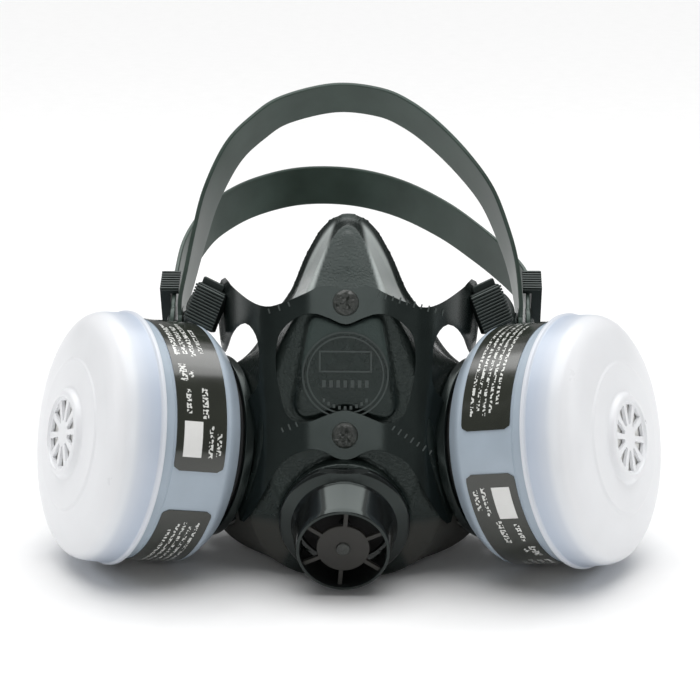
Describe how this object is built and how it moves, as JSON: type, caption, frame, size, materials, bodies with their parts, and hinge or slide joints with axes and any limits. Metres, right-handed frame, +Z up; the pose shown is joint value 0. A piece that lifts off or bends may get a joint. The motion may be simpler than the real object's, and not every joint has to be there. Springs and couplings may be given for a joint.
{
  "type": "half-mask respirator",
  "caption": "Rubber half-mask respirator with a plastic cradle yoke, screw-in filter cartridges with domed covers, an exhalation outlet and rubber head straps.",
  "frame": {"origin": "middle of the footprint at the lowest point", "axes": "+X towards one cheek cartridge, +Y towards the wearer's face, +Z up towards the nose"},
  "size_m": [0.23, 0.1828, 0.1632],
  "materials": {
    "rubber_face": "satin silicone",
    "strap": "smooth matt rubber",
    "yoke": "satin",
    "outlet": "glossy",
    "stud": "rough rubber",
    "canister": "satin light grey-blue",
    "cover": "white translucent",
    "felt": "white felt",
    "carbon": "granular",
    "label": "dark olive printed film",
    "valve": "thin translucent rubber",
    "gasket": "matt black"
  },
  "bodies": {
    "mask": {"facepiece": "rubber_face", "cradle_yoke": "yoke", "upper_stud": "stud", "lower_stud": "stud", "exhalation_valve_seat": "outlet", "right_port_connector": "yoke", "left_port_connector": "yoke", "right_strap_buckle": "yoke", "left_strap_buckle": "yoke"},
    "right_thread": {"right_connector_gasket": "gasket"},
    "right_cartridge": {"right_cartridge_body": "canister", "right_carbon_bed": "carbon", "right_cartridge_lid": "canister", "right_filter_pad": "felt", "right_label_upper": "label", "right_label_lower": "label"},
    "right_cover": {"right_filter_cover": "cover"},
    "right_inhalation_valve": {"right_inhalation_flap": "valve"},
    "right_adjuster": {"right_strap_slide": "yoke"},
    "left_thread": {"left_connector_gasket": "gasket"},
    "left_cartridge": {"left_cartridge_body": "canister", "left_carbon_bed": "carbon", "left_cartridge_lid": "canister", "left_filter_pad": "felt", "left_label_upper": "label", "left_label_lower": "label"},
    "left_cover": {"left_filter_cover": "cover"},
    "left_inhalation_valve": {"left_inhalation_flap": "valve"},
    "left_adjuster": {"left_strap_slide": "yoke"},
    "guard": {"exhalation_guard": "outlet"},
    "exhalation_valve": {"exhalation_valve_flap": "valve"},
    "crown_band": {"crown_strap": "strap"},
    "back_band": {"back_strap": "strap"}
  },
  "joints": [
    {"name": "right_thread_feed", "type": "slide", "parent": "mask", "child": "right_thread", "axis": [0.874, -0.4453, 0.1942], "range_m": [0, 0.0072]},
    {"name": "right_cartridge_turn", "type": "hinge", "parent": "right_thread", "child": "right_cartridge", "pos_m": [0.08915, -0.05075, 0.04894], "axis": [0.874, -0.4453, 0.1942], "range_deg": [0, 721]},
    {"name": "right_cover_pull", "type": "slide", "parent": "right_cartridge", "child": "right_cover", "axis": [0.874, -0.4453, 0.1942], "range_m": [0, 0.03]},
    {"name": "right_inhalation_lift", "type": "slide", "parent": "mask", "child": "right_inhalation_valve", "axis": [-0.874, 0.4453, -0.1942], "range_m": [0, 0.0012], "stiffness_N_per_m": 30},
    {"name": "right_adjuster_slide", "type": "slide", "parent": "back_band", "child": "right_adjuster", "axis": [0, 0.9008, 0.4341], "range_m": [-0.002, 0.004]},
    {"name": "left_thread_feed", "type": "slide", "parent": "mask", "child": "left_thread", "axis": [-0.874, -0.4453, 0.1942], "range_m": [0, 0.0072]},
    {"name": "left_cartridge_turn", "type": "hinge", "parent": "left_thread", "child": "left_cartridge", "pos_m": [-0.08915, -0.05075, 0.04894], "axis": [-0.874, -0.4453, 0.1942], "range_deg": [0, 721]},
    {"name": "left_cover_pull", "type": "slide", "parent": "left_cartridge", "child": "left_cover", "axis": [-0.874, -0.4453, 0.1942], "range_m": [0, 0.03]},
    {"name": "left_inhalation_lift", "type": "slide", "parent": "mask", "child": "left_inhalation_valve", "axis": [0.874, 0.4453, -0.1942], "range_m": [0, 0.0012], "stiffness_N_per_m": 30},
    {"name": "left_adjuster_slide", "type": "slide", "parent": "back_band", "child": "left_adjuster", "axis": [0, 0.9008, 0.4341], "range_m": [-0.002, 0.004]},
    {"name": "guard_pull", "type": "slide", "parent": "mask", "child": "guard", "axis": [0, -0.9659, -0.2588], "range_m": [0, 0.012]},
    {"name": "exhalation_lift", "type": "slide", "parent": "mask", "child": "exhalation_valve", "axis": [0, -0.9659, -0.2588], "range_m": [0, 0.0012], "stiffness_N_per_m": 30},
    {"name": "crown_strap_swing", "type": "hinge", "parent": "mask", "child": "crown_band", "pos_m": [0, 0.00625, 0.07524], "axis": [1, 0, 0], "range_deg": [-10, 30]},
    {"name": "back_strap_swing", "type": "hinge", "parent": "mask", "child": "back_band", "pos_m": [0, 0.00625, 0.07524], "axis": [1, 0, 0], "range_deg": [-30, 10]}
  ],
  "couplings": [
    {"joint": "right_cartridge_turn", "follows": "right_thread_feed", "rad_per_m": 1745.3},
    {"joint": "left_cartridge_turn", "follows": "left_thread_feed", "rad_per_m": 1745.3}
  ]
}
